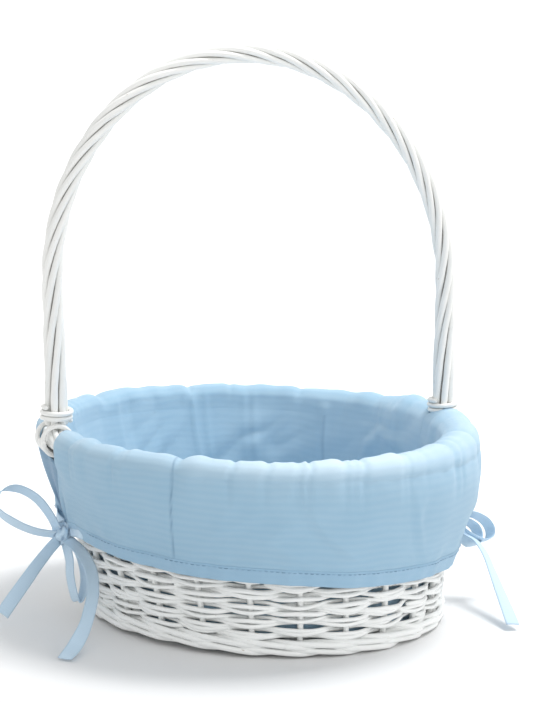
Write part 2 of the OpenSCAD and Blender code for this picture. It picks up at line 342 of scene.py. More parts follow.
def thread_group():
    """Plain weave with woven-in stripes: two crossed sets of threads, and wavy bands along v."""
    group, given, out = new_group(
        "threads and stripes",
        [("Thread pitch", "float", 0.0005), ("Stripe pitch", "float", 0.004)],
        [("Threads", "float"), ("Stripes", "float"), ("Cloudy", "float")])
    uv = new_node(group, "ShaderNodeUVMap", uv_map="UVMap").outputs[0]
    parts = new_node(group, "ShaderNodeSeparateXYZ", {0: uv})
    turn = maths(group, "DIVIDE", TAU, given.outputs["Thread pitch"])
    warp = maths(group, "SINE", maths(group, "MULTIPLY", parts.outputs[0], turn))
    weft = maths(group, "SINE", maths(group, "MULTIPLY", parts.outputs[1], turn))
    threads = maths(group, "MULTIPLY", warp, weft)
    drift = new_node(group, "ShaderNodeTexNoise", {"Vector": uv, "Scale": 22.0, "Detail": 2.0})
    moved = maths(group, "MULTIPLY_ADD", drift.outputs["Fac"], 0.009, parts.outputs[1])
    band_turn = maths(group, "DIVIDE", TAU, given.outputs["Stripe pitch"])
    bands = maths(group, "SINE", maths(group, "MULTIPLY", moved, band_turn))
    cloudy = new_node(group, "ShaderNodeTexNoise", {"Vector": uv, "Scale": 45.0, "Detail": 3.0})
    group.links.new(threads, out.inputs["Threads"])
    group.links.new(maths(group, "MULTIPLY_ADD", bands, 0.5, 0.5), out.inputs["Stripes"])
    group.links.new(cloudy.outputs["Fac"], out.inputs["Cloudy"])
    return group


GRAIN = grain_group()
THREADS = thread_group()


def new_material(name):
    """An empty node material and its Principled shader."""
    material = bpy.data.materials.new(name)
    material.use_nodes = True
    tree = material.node_tree
    tree.nodes.clear()
    shader = tree.nodes.new("ShaderNodeBsdfPrincipled")
    output = tree.nodes.new("ShaderNodeOutputMaterial")
    tree.links.new(shader.outputs[0], output.inputs[0])
    return material, tree, shader


def willow(name, paint, shade, bare, roughness, chips=1.0):
    """White-painted willow: uneven paint, grain that shows through, and chips down to the wood."""
    material, tree, shader = new_material(name)
    grain = new_node(tree, "ShaderNodeGroup", node_tree=GRAIN)
    tone = new_node(tree, "ShaderNodeAttribute", attribute_name="tone").outputs["Fac"]
    streaks, mottle = grain.outputs["Streaks"], grain.outputs["Mottle"]
    uneven = maths(tree, "MULTIPLY_ADD", mottle, 0.7, maths(tree, "MULTIPLY", tone, 0.35))
    colour = mixed(tree, maths(tree, "MULTIPLY", uneven, 0.8), paint, shade)
    colour = mixed(tree, maths(tree, "MULTIPLY", grain.outputs["Chips"], chips), colour, bare)
    tree.links.new(colour, shader.inputs["Base Color"])
    rough = maths(tree, "MULTIPLY_ADD", streaks, 0.25, roughness - 0.12)
    tree.links.new(rough, shader.inputs["Roughness"])
    height = maths(tree, "MULTIPLY_ADD", mottle, 0.8, streaks)
    bump = new_node(tree, "ShaderNodeBump",
                    {"Height": height, "Strength": 0.35, "Distance": 0.0004})
    tree.links.new(bump.outputs[0], shader.inputs["Normal"])
    return material


def cotton(name, light, deep, pale, stripe_strength, bump_distance, stripe_pitch=0.0042,
           thread=0.0006):
    """Soft cotton with woven stripes of the same colour, fine threads and a faint nap.

    One attribute pales it as painted light, where light falls on the crest and inside, and the tone
    attribute darkens its seams and edges and paints shade into its folds and hollows.
    """
    material, tree, shader = new_material(name)
    cloth = new_node(tree, "ShaderNodeGroup", {"Thread pitch": thread, "Stripe pitch": stripe_pitch},
                     node_tree=THREADS)
    tone = new_node(tree, "ShaderNodeAttribute", attribute_name="tone").outputs["Fac"]
    painted_light = new_node(tree, "ShaderNodeAttribute", attribute_name="painted_light").outputs["Fac"]
    bands = maths(tree, "MULTIPLY", cloth.outputs["Stripes"], stripe_strength)
    cloudy = maths(tree, "MULTIPLY_ADD", cloth.outputs["Cloudy"], 0.45, bands)
    colour = mixed(tree, cloudy, light, deep)
    # Painted light: the pale colour is mixed in as much as that attribute says, with a faint fleck of
    # the threads.
    fine = maths(tree, "MULTIPLY_ADD", cloth.outputs["Threads"], 0.06, painted_light)
    colour = mixed(tree, fine, colour, pale)
    # Seams and painted shade: the tone attribute darkens the cloth towards this colour.
    colour = mixed(tree, tone, colour, (deep[0] * 0.45, deep[1] * 0.5, deep[2] * 0.6, 1))
    tree.links.new(colour, shader.inputs["Base Color"])
    rough = maths(tree, "MULTIPLY_ADD", cloth.outputs["Cloudy"], 0.15, 0.76)
    tree.links.new(rough, shader.inputs["Roughness"])
    shader.inputs["Sheen Weight"].default_value = 0.25
    shader.inputs["Sheen Roughness"].default_value = 0.5
    height = maths(tree, "MULTIPLY_ADD", cloth.outputs["Stripes"], 1.0, cloth.outputs["Threads"])
    bump = new_node(tree, "ShaderNodeBump",
                    {"Height": height, "Strength": 0.5, "Distance": bump_distance})
    tree.links.new(bump.outputs[0], shader.inputs["Normal"])
    return material


WILLOW = willow("painted willow", (0.95, 0.96, 0.95, 1), (0.84, 0.86, 0.85, 1),
                (0.36, 0.26, 0.18, 1), 0.5)
HANDLE_WILLOW = willow("painted handle willow", (0.96, 0.96, 0.94, 1), (0.82, 0.83, 0.81, 1),
                       (0.40, 0.33, 0.25, 1), 0.5, 0.8)
# The core's willow is a darker copy of the handle's: painted shade, for where it shows between the
# strands.
CORE_WILLOW_IN_PAINTED_SHADE = willow("shaded core willow", (0.74, 0.73, 0.70, 1), (0.56, 0.55, 0.52, 1),
                     (0.30, 0.22, 0.15, 1), 0.7)
# The striped cotton's third colour is the pale one that painted light mixes in on the crest and
# inside.
COTTON = cotton("striped cotton", (0.36, 0.545, 0.69, 1), (0.255, 0.46, 0.63, 1),
                (0.74, 0.88, 0.98, 1), 0.22, 0.00011)
HEM_COTTON = cotton("hem cotton", (0.34, 0.53, 0.69, 1), (0.25, 0.45, 0.63, 1),
                    (0.60, 0.76, 0.88, 1), 0.12, 0.00010)
RIBBON = cotton("ribbon cotton", (0.62, 0.78, 0.91, 1), (0.49, 0.67, 0.83, 1),
                (0.78, 0.86, 0.94, 1), 0.10, 0.00008, stripe_pitch=0.0012, thread=0.0005)


# --- woven wall ---

WEAVER_R = 1.28 * MM
WEAVE_PITCH = 4.9 * MM
FOOT_LIFT = 2.2 * MM

def wall_middle(z):
    """Distance of the stakes' middle line from the basket's: the wall leans out evenly."""
    rim = WALL_RIM_R - WALL_T / 2
    foot = FOOT_R - 1 * MM - WALL_T / 2
    return foot + (rim - foot) * (z - WEAVE_Z0) / (WEAVE_Z1 - WEAVE_Z0)


def side_stakes():
    """Straight rods up the wall, each a little off its place."""
    rng = np.random.default_rng(4)
    z = np.linspace(3 * MM, BORDER_Z, 26)[None, :]
    k = (np.arange(STAKES)[:, None] + 0.5) * TAU / STAKES
    sway = 0.35 * MM * np.sin(z * 60 + rng.uniform(0, TAU, (STAKES, 1)))
    angle = k + rng.normal(0, 0.006, (STAKES, 1)) * ease(z, 0.0, 0.05) + sway / 0.1
    paths = polar(angle, wall_middle(z), z + 0 * angle)
    make_rods("side_stake_rods", paths, STAKE_R, outward(angle), ["side_stakes"],
              WILLOW, sides=8, seed=5)


def weave_rows(name, node, z0, z1, pitch0, pitch1, rod_r, seed):
    """Rows of paired rods that pass in front of one stake and behind the next.

    In one row the distance from the stake line is A * sin(12 * angle), and in the next row it
    is turned round. The two rods of a row part where they cross a stake, by the squared sine,
    and close again between stakes. Each round is three tapered rods that overlap at their ends.
    """
    rng = np.random.default_rng(seed)
    paths, radii, ups = [], [], []
    z, row = z0, 0
    while z < z1:
        pitch = pitch0 + (pitch1 - pitch0) * (z - z0) / (z1 - z0)
        shared = 0.45 * MM * ripple(np.linspace(0, TAU * 1.2, 400), (3, 5, 8), seed + row)
        for lane in (-0.5, 0.5):
            start = rng.uniform(0, TAU)
            wave = rng.integers(1 << 30)
            for part in range(3):
                u = np.linspace(0, 1, 110)
                angle = start + (part + u * 1.12) * TAU / 3
                bend = np.sin(STAKES / 2 * angle + math.pi * (row % 2))
                bend = np.sign(bend) * np.abs(bend) ** 0.8
                r_rod = rod_r * (1.16 - 0.30 * u) * rng.uniform(0.90, 1.10)
                swing = STAKE_R + r_rod * 0.9
                tuck = 1 - 0.8 * ease(np.abs(u - 0.5), 0.46, 0.5)
                loose = 0.30 + 0.12 * ripple(angle, (3, 5, 8, 13), wave + 2)
                part_by = 0.25 * pitch + loose * r_rod * (1 - np.cos(STAKES * angle))
                height = z + 2 * lane * part_by
                height += np.interp(np.mod(angle, TAU), np.linspace(0, TAU * 1.2, 400), shared)
                height += 0.40 * MM * ripple(angle, (2, 3, 5, 7), wave)
                height += 0.28 * MM * ripple(angle, (11, 17, 23), wave + 1)
                height += (0.5 - u) * 1.9 * MM - 0.5 * MM * bend
                paths.append(polar(angle, wall_middle(height) + swing * bend * tuck, height))
                radii.append(r_rod)
                ups.append(outward(angle))
        z += pitch
        row += 1
    make_rods(name, np.array(paths), np.array(radii), np.array(ups), [node],
              WILLOW, sides=7, seed=seed)


def wale(name, node, z, rounds, rod_r, lift, middle, seed, flat_floor=None):
    """Three rods twisted round the stakes: each goes in front of two and behind one.

    With p the place in its own three-stake step, the rod stands out by the clipped cosine of
    p and rises with its sine, so that the three lie on each other like a rope. A wale with a
    flat_floor is kept above it, and is lifted off it a little beside the skirt's front seam.
    """
    rng = np.random.default_rng(seed)
    paths, radii, ups = [], [], []
    for turn in range(rounds):
        for rod in range(3):
            angle = np.linspace(0, TAU * 1.02, 330) + rng.uniform(0, TAU)
            p = (angle * STAKES / TAU + rod) / 3 * TAU
            out = np.clip(1.35 * (np.cos(p) + 0.35), -0.6, 1.1)
            r_rod = rod_r * (1.05 - 0.1 * np.linspace(0, 1, len(angle))) * rng.uniform(0.95, 1.05)
            height = z + turn * lift - rod_r * 0.62 * np.sin(p)
            height = height + 0.35 * MM * ripple(angle, (2, 3, 5), seed + rod + 9 * turn)
            if flat_floor is not None:
                height = np.maximum(height, flat_floor + r_rod)
                off_seam = np.mod(angle - SEAM_FRONT + math.pi, TAU) - math.pi
                height += FOOT_LIFT * np.exp(-((off_seam + 0.25) / 0.55) ** 2)
            paths.append(polar(angle, middle(height) + (STAKE_R + r_rod) * out * 0.92, height))
            radii.append(r_rod)
            ups.append(outward(angle))
    make_rods(name, np.array(paths), np.array(radii), np.array(ups), [node],
              WILLOW, sides=8, seed=seed)


def rolled_border():
    """Stakes bent over at the rim: pairs of rods wind round it once as they pass four stakes."""
    rng = np.random.default_rng(31)
    count = STAKES * 2
    u = np.linspace(0, 1, 44)[None, :]
    start = (np.arange(count)[:, None] + 0.5) * TAU / count + rng.normal(0, 0.01, (count, 1))
    angle = start + u * TAU / STAKES * 4.2
    turn = math.pi * (1.15 - 2.1 * u)
    off = BORDER_TUBE - 2.6 * MM + rng.normal(0, 0.15 * MM, (count, 1))
    r = BORDER_R + off * np.cos(turn)
    z = BORDER_Z + off * np.sin(turn)
    radii = 1.72 * MM * (1.06 - 0.2 * u) * rng.uniform(0.92, 1.05, (count, 1))
    make_rods("rolled_border_rods", polar(angle, r, z), radii, outward(angle) * 0.3
              + polar(angle, np.cos(turn), np.sin(turn)), ["rolled_border"],
              WILLOW, sides=8, seed=32)


def base():
    """The underside: two crossed sets of sticks that fan out, and rods woven round them."""
    z0 = 5 * MM
    stick_len = 92 * MM
    sticks = 6
    for name, node, turn in (("base_stick_rods_x", "base_sticks_x", 0.0),
                             ("base_stick_rods_y", "base_sticks_y", math.pi / 2)):
        u = np.linspace(-1, 1, 41)[None, :]
        k = np.arange(sticks)[:, None] - (sticks - 1) / 2
        fan = k * TAU / 24
        near = np.abs(u) * stick_len
        spread = ease(near, 8 * MM, 40 * MM)
        along = np.sign(u) * near * np.cos(fan * spread)
        across = k * 3.6 * MM * (1 - spread) + near * np.sin(fan) * spread
        level = z0 + (0.9 * MM if turn else -0.9 * MM) * (1 - spread)
        x = along * math.cos(turn) - across * math.sin(turn)
        y = along * math.sin(turn) + across * math.cos(turn)
        paths = np.stack(np.broadcast_arrays(x, y, level), axis=-1)
        make_rods(name, paths, 1.6 * MM, (0, 0, 1), [node], WILLOW, seed=41)
    rings = np.arange(31)[:, None]
    r = (17 + rings * 2.48) * MM
    angle = np.linspace(0, TAU * 1.01, 150)[None, :] + rings * 0.7
    z = z0 + 2.2 * MM * np.sin(12 * angle + math.pi * (rings % 2))
    paths = polar(angle, r, z)
    make_rods("base_weave_rods", paths, 1.15 * MM, (0, 0, 1), ["base_weave"],
              WILLOW, sides=6, seed=42)


# --- handle ---

ARCH_START = 185 * MM
TWIST_PITCH = 110 * MM
LEAN = 10 * MM
BINDING_R = 1.35 * MM
LEG = ARCH_START - STRAND_FOOT
ARCH = HANDLE_TOP - ARCH_START
ARCH_LEN = math.pi * (HANDLE_HALF + ARCH) / 2
HANDLE_LEN = 2 * LEG + ARCH_LEN


def handle_line(s):
    """The handle's middle line at a distance s from its left foot: leg, half ellipse, leg.

    It leans to the left by LEAN at the top, with the 1.2th power of the height.
    """
    a = np.clip((s - LEG) / ARCH_LEN, 0, 1) * math.pi
    x = -HANDLE_HALF * np.cos(a)
    z = ARCH_START + ARCH * np.sin(a) - np.maximum(LEG - s, 0) - np.maximum(s - LEG - ARCH_LEN, 0)
    lean = LEAN * np.clip((z - STRAND_FOOT) / (HANDLE_TOP - STRAND_FOOT), 0, 1) ** 1.2
    return np.stack([x - lean, 0 * s, z], axis=-1)


def handle_turns(s):
    """Turns of the twist up to s: as the square of s in a leg, and evenly over the arch."""
    leg_turns = LEG / 2 / TWIST_PITCH
    first = np.minimum(s, LEG) ** 2 / (2 * LEG) / TWIST_PITCH
    middle = np.clip(s - LEG, 0, ARCH_LEN) / TWIST_PITCH
    left = np.minimum(HANDLE_LEN - s, LEG)
    last = np.where(s > LEG + ARCH_LEN, leg_turns - left ** 2 / (2 * LEG) / TWIST_PITCH, 0)
    return first + middle + last


def handle():
    """A core and six strands that lie round it, thinner at the top than at the feet."""
    s = np.linspace(0, HANDLE_LEN, 420)
    line = handle_line(s)
    along = unit(np.gradient(line, axis=0))
    y = np.array([0.0, 1.0, 0.0])
    normal = unit(np.cross(y, along))
    rise = np.sin(math.pi * s / HANDLE_LEN)
    foot = np.exp(-(np.minimum(s, HANDLE_LEN - s) / (45 * MM)) ** 2)
    ring = (4.4 - 0.8 * rise + 0.3 * foot) * MM
    for k in range(1, 7):
        wander = 0.05 * ripple(s / HANDLE_LEN * TAU, (3, 5, 8, 13), 60 + k)
        q = k * TAU / 6 + TAU * handle_turns(s) + wander
        swell = 1 + 0.05 * ripple(s / HANDLE_LEN * TAU, (7, 11, 23, 37), 70 + k)
        r_rod = (1.98 - 0.35 * rise) * MM * swell
        out = np.cos(q)[:, None] * normal + np.sin(q)[:, None] * y
        loose = 1 + 0.02 * ripple(s / HANDLE_LEN * TAU, (4, 9, 17), 80 + k)
        path = line + out * (ring * loose)[:, None]
        make_rods(f"handle_strand_rod_{k}", path[None], r_rod[None], out[None],
                  [f"handle_strand_{k}"], HANDLE_WILLOW, sides=12, seed=90 + k,
                  creep=False)
    foot_z = np.linspace(LOWER_TOP, STRAND_FOOT, 12)
    foot_x = np.interp(foot_z, [LOWER_TOP, WALE_TOP, STRAND_FOOT],
                       [wall_middle(LOWER_TOP), wall_middle(WALE_TOP), HANDLE_HALF])
    foot = np.stack([foot_x, 0 * foot_x, foot_z], axis=-1)
    path = np.concatenate([foot[:-1] * [-1, 1, 1], line, foot[-2::-1]])
    make_rods("handle_core_rod", path[None], np.full((1, len(path)), CORE_R),
              np.broadcast_to(y, path[None].shape), ["handle_core"], CORE_WILLOW_IN_PAINTED_SHADE,
              sides=12, creep=False)


def handle_feet():
    """Each foot of the handle: a thin rod wound round it, and lashing round the rim beside it."""
    for side, word in ((LEFT, "left"), (RIGHT, "right")):
        turns = np.linspace(0, 2.6 * TAU, 150)
        r = 7.9 * MM + 0.35 * MM * np.cos(turns * 0.7 + side)
        z = BORDER_TOP + 3.4 * MM + turns / TAU * 2.9 * MM + 0.5 * MM * np.sin(turns * 1.0 + side)
        around = np.stack([np.cos(turns), np.sin(turns), 0 * turns], axis=-1)
        path = np.array([side * HANDLE_HALF, 0, 0]) + around * r[:, None]
        path[:, 2] = z
        make_rods(f"handle_collar_rod_{word}", path[None], BINDING_R, around[None],
                  [f"handle_collar_{word}"], HANDLE_WILLOW, sides=8,
                  seed=100 + side, creep=False)
        paths, ups = [], []
        for y0, slant in ((-10, 9), (10, -9), (-6.5, -3), (6.5, 3)):
            q = np.linspace(-0.25 * TAU, 1.0 * TAU, 90)
            across = np.stack([side * np.cos(q), 0 * q, np.sin(q)], axis=-1)
            p = np.array([side * BORDER_R, 0, BORDER_Z]) + across * (BORDER_TUBE + 1.6 * MM)
            p[:, 1] = (y0 + slant * (q + 0.25 * TAU) / (1.25 * TAU)) * MM
            paths.append(p)
            ups.append(across)
        make_rods(f"handle_lashing_rod_{word}", np.array(paths), BINDING_R, np.array(ups),
                  [f"handle_lashing_{word}"], HANDLE_WILLOW, sides=8,
                  seed=110 + side, creep=False)


# --- cloth ---

CLOTH_T = 0.7 * MM
SEAM_FRONT = math.radians(231.8)
SEAM_INSIDE = math.radians(48)
INSIDE_LEN = 96 * MM
INNER_START = 0.86  # how far up the liner's wall the skirt starts
CREST_ARC = BORDER_TUBE + 1.1 * MM
HEM_DEPTH = 9 * MM
SKIRT_R = 120 * MM
BOW_R = 112 * MM
BOW_Z = 48 * MM
# Half of the notch for a handle foot, in degrees: inside, on the crest, outside and below, and
# between which two places down the skirt it reaches the last of them. The back half goes on under
# the front half, so its last one is below 0.
NOTCH = {("front", LEFT): (3.0, 9.8, 10.5, 1.0, 1.0, 1.95),
         ("back", LEFT): (3.0, 6.5, 3.0, -9.0, 1.02, 1.22),
         ("front", RIGHT): (-0.8, 3.4, 2.0, 1.0, 1.1, 1.6),
         ("back", RIGHT): (-0.8, 3.4, 2.0, -3.4, 1.02, 1.25)}
# Between which two places over the crest a notch opens from its width inside to the next one
NOTCH_OPENS = {LEFT: (-0.05, 0.4), RIGHT: (0.1, 0.32)}


def sideways(angle):
    """1 on the side that the foot has crept to, and -1 on the other."""
    return np.cos(angle - SIDEWAYS)


def bow_distance(angle, z):
    """Distance and direction, along the cloth, from the nearer of the two bows."""
    turn = np.mod(angle + math.pi / 2, math.pi) - math.pi / 2
    across = turn * BOW_R
    down = z - BOW_Z
    return np.hypot(across, down), np.arctan2(down, across)


def gathers(angle):
    """Bumps and sharp pinches along the rim, where the cloth is too full for it; about 1 high."""
    return (0.55 * ripple(angle, (9, 14, 21, 30, 41), 11) - 1.0 * pinches(angle, 42, 0.014, 13)
            - 0.9 * pinches(angle, 9, 0.035, 14) + 0.45)


def over_lashing(angle):
    """The cloth rides up over the lashing of the right handle foot, is bunched just behind that
    foot, and is fuller on the side that the basket's foot has crept to."""
    turn = np.mod(angle + math.pi, TAU) - math.pi
    return (2.3 * np.exp(-(turn / 0.17) ** 4) + 4.0 * np.exp(-((turn - 0.32) / 0.10) ** 2)
            + 3.2 * np.clip(sideways(angle), 0, 1) ** 2) * MM


def inner_folds(angle):
    """How far the upright folds of the inside stand inwards."""
    waves = np.abs(ripple(angle, (6, 9, 14, 19), 3))
    return (0.9 * waves + 0.9 * pinches(angle, 26, 0.022, 15)) * MM


def inside_painted_light(angle):
    """Painted light on the inside: how much paler it is painted, most on the right, where the light
    falls.
    """
    return 0.08 + 0.20 * np.clip(np.cos(angle), 0, 1)


def inside_cloth(angle, t):
    """The liner's wall: t runs from the floor (0) to just inside the crest (1).

    It leans with the weave, and hangs in soft upright folds that grow towards the top.
    """
    z0 = LINER_FLOOR[1].z
    z = z0 + (BORDER_Z + 1.5 * MM - z0) * t
    foot_r = LINER_FLOOR[1].x - 0.6 * MM
    r = foot_r + (BORDER_R - CREST_ARC - foot_r) * t - inner_folds(angle) * (0.25 + 0.75 * t)
    r -= 1.3 * MM * np.exp(-((angle - SEAM_INSIDE) / 0.030) ** 2) * ease(t, 0.0, 0.4)
    r -= 1.6 * MM * np.sin(math.pi * t) * (1 + 0.4 * ripple(angle, (2, 3, 5), 8))
    r -= over_lashing(angle) * ease(t, 0.6, 1.0) + 0.7 * MM * (1 - ease(t, 0.75, 1.0))
    folds = creases(np.mod(angle, TAU) * 0.1, t * INSIDE_LEN, 40, 5.5 * MM, 16,
                    (0.0, 0.63, 0.35 * INSIDE_LEN, INSIDE_LEN))
    return polar(angle, r - 2.2 * MM * np.abs(folds) * np.sin(math.pi * t ** 2), z)


def crest_cloth(angle, t):
    """The cloth over the rim: an arc round the border from inside (0) to outside (1), gathered."""
    turn = math.pi * (0.93 - 1.0 * t)
    full = np.sin(math.pi * np.clip(t * 1.15 + 0.05, 0, 1)) ** 0.7
    late = gathers(angle + 0.02 * t) * ease(t, 0.4, 1.0)
    puff = CREST_ARC + (1.3 * gathers(angle) * full + 0.9 * late) * MM
    puff += over_lashing(angle)
    r = BORDER_R + puff * np.cos(turn) - inner_folds(angle) * (1 - ease(t, 0.0, 0.42))
    return polar(angle, r, BORDER_Z + puff * np.sin(turn))


def seam_front(t):
    """The angle of the upright seam in the front: it stays upright although the foot has crept."""
    return SEAM_FRONT - 0.066 * t ** 1.6


def hem_height(angle):
    """The skirt's lower edge: lower on the side that the foot has crept to, and by the left bow."""
    side = sideways(angle)
    at_left_bow = 3 * np.exp(-((np.mod(angle, TAU) - math.pi) / 0.1) ** 2)
    return (HEM_Z - (5 * side + 2.5 * side * np.abs(side) + 1.5 + at_left_bow) * MM
            + 0.6 * MM * ripple(angle, (3, 5, 8), 17))


def skirt_cloth(angle, t, proud=0.0):
    """The skirt from the rim (0) to its lower edge (1), standing a little proud if asked to.

    It blouses out as the sine of t to the 0.72th power, and is drawn in towards the bows in
    tucks that run out from them like rays.
    """
    top = crest_cloth(angle, np.ones_like(t))
    top_r = BORDER_R + (CREST_ARC + over_lashing(angle)) * math.cos(0.07 * math.pi)
    gathered = (np.hypot(top[..., 0], top[..., 1]) - top_r) * (1 - ease(t, 0.0, 0.38))
    top_z = top[..., 2]
    hem_z = hem_height(angle)
    z = top_z + (hem_z - top_z) * t
    hem_r = wall_middle(hem_z) + WALL_T / 2 + 4.8 * MM
    blouse = (3.4 + 2.6 * sideways(angle)) * MM * np.sin(math.pi * t ** 0.72) ** 1.2
    folds = 0.55 * ripple(angle, (7, 11, 16, 23), 21) * (0.35 + t)
    folds += 0.30 * ripple(angle, (31, 43, 59), 22) * (ease(t, 0.55, 1.0) + ease(-t, -0.25, 0.0))
    folds += 1.2 * creases(np.mod(angle, TAU) * SKIRT_R, t * 62 * MM, 46, 4.2 * MM, 23,
                           (0.0, 0.754, 0.0, 60 * MM)) * np.sin(math.pi * np.clip(t, 0.02, 0.97))
    away, direction = bow_distance(angle, z)
    folds += 1.9 * np.exp(-(away / 0.026) ** 2) * np.cos(9 * direction + 0.6) * ease(away, 0.0, 0.01)
    folds += 0.9 * np.exp(-(away / 0.050) ** 2) * np.cos(13 * direction + 1.9) * ease(away, 0.0, 0.02)
    folds -= 1.8 * np.exp(-(away / 0.015) ** 2)
    off_seam = (angle - seam_front(t)) * 120
    folds += 0.45 * (np.exp(-(off_seam / 1.1) ** 2) - 1.7 * np.exp(-(off_seam / 0.45) ** 2))
    r = top_r + (hem_r - top_r) * t + gathered + blouse + folds * MM + proud
    return crept(polar(angle, r, z))


def notch(word, side, t):
    """Half of the gap between front and back at a handle foot, in radians.

    t is below 0 inside the rim, 0 to 1 over the crest and 1 to 2 down the skirt.
    """
    inside, crest, outside, below = (math.radians(v) for v in NOTCH[word, side][:4])
    gap = inside + (crest - inside) * ease(t, *NOTCH_OPENS[side])
    gap = gap - (crest - outside) * ease(t, 0.5, 1.0)
    return gap - (outside - below) * ease(t, *NOTCH[word, side][4:])


def skirt(word, middle):
    """One half of the skirt, from inside the crest to the hem, between the two handle feet.

    The back half lies deeper at its ends, where it goes under the front half. A second layer
    along the lower edge is turned up and stitched.
    """
    columns = np.linspace(-1, 1, 361)[None, :]
    t_in = np.linspace(INNER_START, 1, 7)[:-1, None]
    t_over = np.linspace(0, 1, 26)[:-1, None]
    t_down = np.linspace(0, 1, 72)[:, None]
    under = (-2.0 if word == "back" else 0.5) * MM * ease(np.abs(columns), 0.88, 0.955)

    def spread(t):
        sides = [RIGHT if math.cos(middle + end * math.pi / 2) > 0 else LEFT for end in (-1, 1)]
        gaps = [notch(word, side, t) for side in sides]
        return middle + columns * (math.pi / 2 - np.where(columns < 0, gaps[0], gaps[1]))

    angles = np.concatenate([spread(t_in - 1), spread(t_over), spread(t_down + 1)])
    first, second = len(t_in), len(t_in) + len(t_over)
    inner = inside_cloth(angles[:first], t_in + 0 * columns)
    inner[..., :2] *= 1 - (ease(t_in, INNER_START, 1.0) * 0.8 - 0.45)[..., None] * MM / BORDER_R
    crest = crest_cloth(angles[first:second], t_over + 0 * columns)
    crest[..., :2] *= 1 - 0.35 * (1 - ease(t_over, 0.0, 0.3))[..., None] * MM / BORDER_R
    fall = skirt_cloth(angles[second:], t_down + 0 * columns, under * ease(t_down, 0.0, 0.2))
    grid = np.concatenate([inner, crest, fall])
    over = np.concatenate([t_in - 1, t_over, t_down + 1])
    rolled = 1.1 * MM * (ease(np.abs(columns), 0.985, 1.0) ** 2) * (2 * ease(over, 0.2, 0.6) - 1)
    grid[..., :2] *= 1 - rolled[..., None] / BORDER_R
    middle_column = grid[:, columns.size // 2]
    down = np.concatenate([[0], np.cumsum(np.linalg.norm(np.diff(middle_column, axis=0), axis=-1))])
    down = np.broadcast_to(down[:, None] + INNER_START * INSIDE_LEN, angles.shape)
    uv = np.stack([angles * SKIRT_R, down], axis=-1)
    # The front seam is a darker line of its own. In the hollows of the tucks round each bow, the cloth
    # is darkened as painted shade.
    dark = 0.5 * np.exp(-((angles - seam_front(np.clip(over - 1, 0, 1))) * 120 / 0.5) ** 2)
    away, direction = bow_distance(angles, grid[..., 2])
    tucks = np.exp(-((away - 0.012) / 0.009) ** 2) * ease(-np.cos(9 * direction + 0.6), 0.2, 1.0)
    dark += 1.3 * tucks * (over > 1)
    # Painted shade on the ends of the back half, where they lie under the front half and face away
    # from the light. The left end, which shows in the notch, gets more.
    if word == "back":
        dark += 0.40 * ease(-columns, 0.84, 0.93) * ease(over, 1.0, 1.15)
        dark += 0.60 * ease(columns, 0.76, 0.90) * ease(over, 0.9, 1.1)
    # Painted highlight on the top of the crest, where light falls on it: fullest in the middle of the
    # front, less towards the handle feet, faint on the back and more on the gathers. Inside the rim it
    # gives way to the inside's painted light.
    ends = 0.15
    if word == "front":
        ends = 1 - 0.6 * ease(-columns, 0.1, 0.6) - 0.5 * ease(columns, 0.1, 0.6)
    painted_light_amount = 0.7 * np.exp(-((over - 0.58) / 0.34) ** 2) * (0.85 + 0.2 * gathers(angles)) * ends
    painted_light_amount = np.maximum(painted_light_amount, inside_painted_light(angles) * (1 - ease(over, 0.0, 0.35)))
    piece = make_cloth(f"skirt_{word}_cloth", grid[::-1], uv[::-1], "basket", [f"skirt_{word}"],
                       COTTON, CLOTH_T, tone=dark[::-1], painted_light=painted_light_amount[::-1])
    hem(word, spread, under)


def hem(word, spread, under):
    """The turned-up edge: a strip that stands proud of the skirt and curls under, with stitches."""
    length = 60 * MM
    t = np.concatenate([np.linspace(1 - HEM_DEPTH / length, 1, 12), np.ones(6)])[:, None]
    curl = np.concatenate([np.zeros(12), np.linspace(0, math.pi, 7)[1:]])[:, None]
    lift = np.concatenate([[0.0, 0.45], np.full(16, 0.6)])[:, None] * MM
    angles = spread(np.minimum(t, 1) + 1)
    grid = skirt_cloth(angles, t + 0 * angles, under + lift - 0.75 * MM * (1 - np.cos(curl)))
    grid[..., 2] -= 0.75 * MM * np.sin(curl)
    uv = np.stack([angles * SKIRT_R, np.broadcast_to(t * length - curl * MM, angles.shape)], axis=-1)
    piece = make_cloth(f"hem_{word}_cloth", grid[::-1], uv[::-1], "basket", [f"hem_{word}"],
                       HEM_COTTON, 0.5 * MM)
    stitches = 100
    stitch_turn = 0.0185
    start = np.linspace(angles[0, 30], angles[0, -31], stitches)[:, None]
    along = start + np.linspace(0, stitch_turn, 5)[None, :]
    high = np.array([0.05, 0.55, 0.7, 0.55, 0.05])[None, :] * MM
    t_line = 1 - (HEM_DEPTH - 1.6 * MM) / length
    paths = skirt_cloth(along, np.full(along.shape, t_line), high + 0.35 * MM)
    make_rods(f"hem_{word}_stitches", paths, 0.17 * MM, outward(along), None,
              HEM_COTTON, sides=5, seed=61, creep=False)


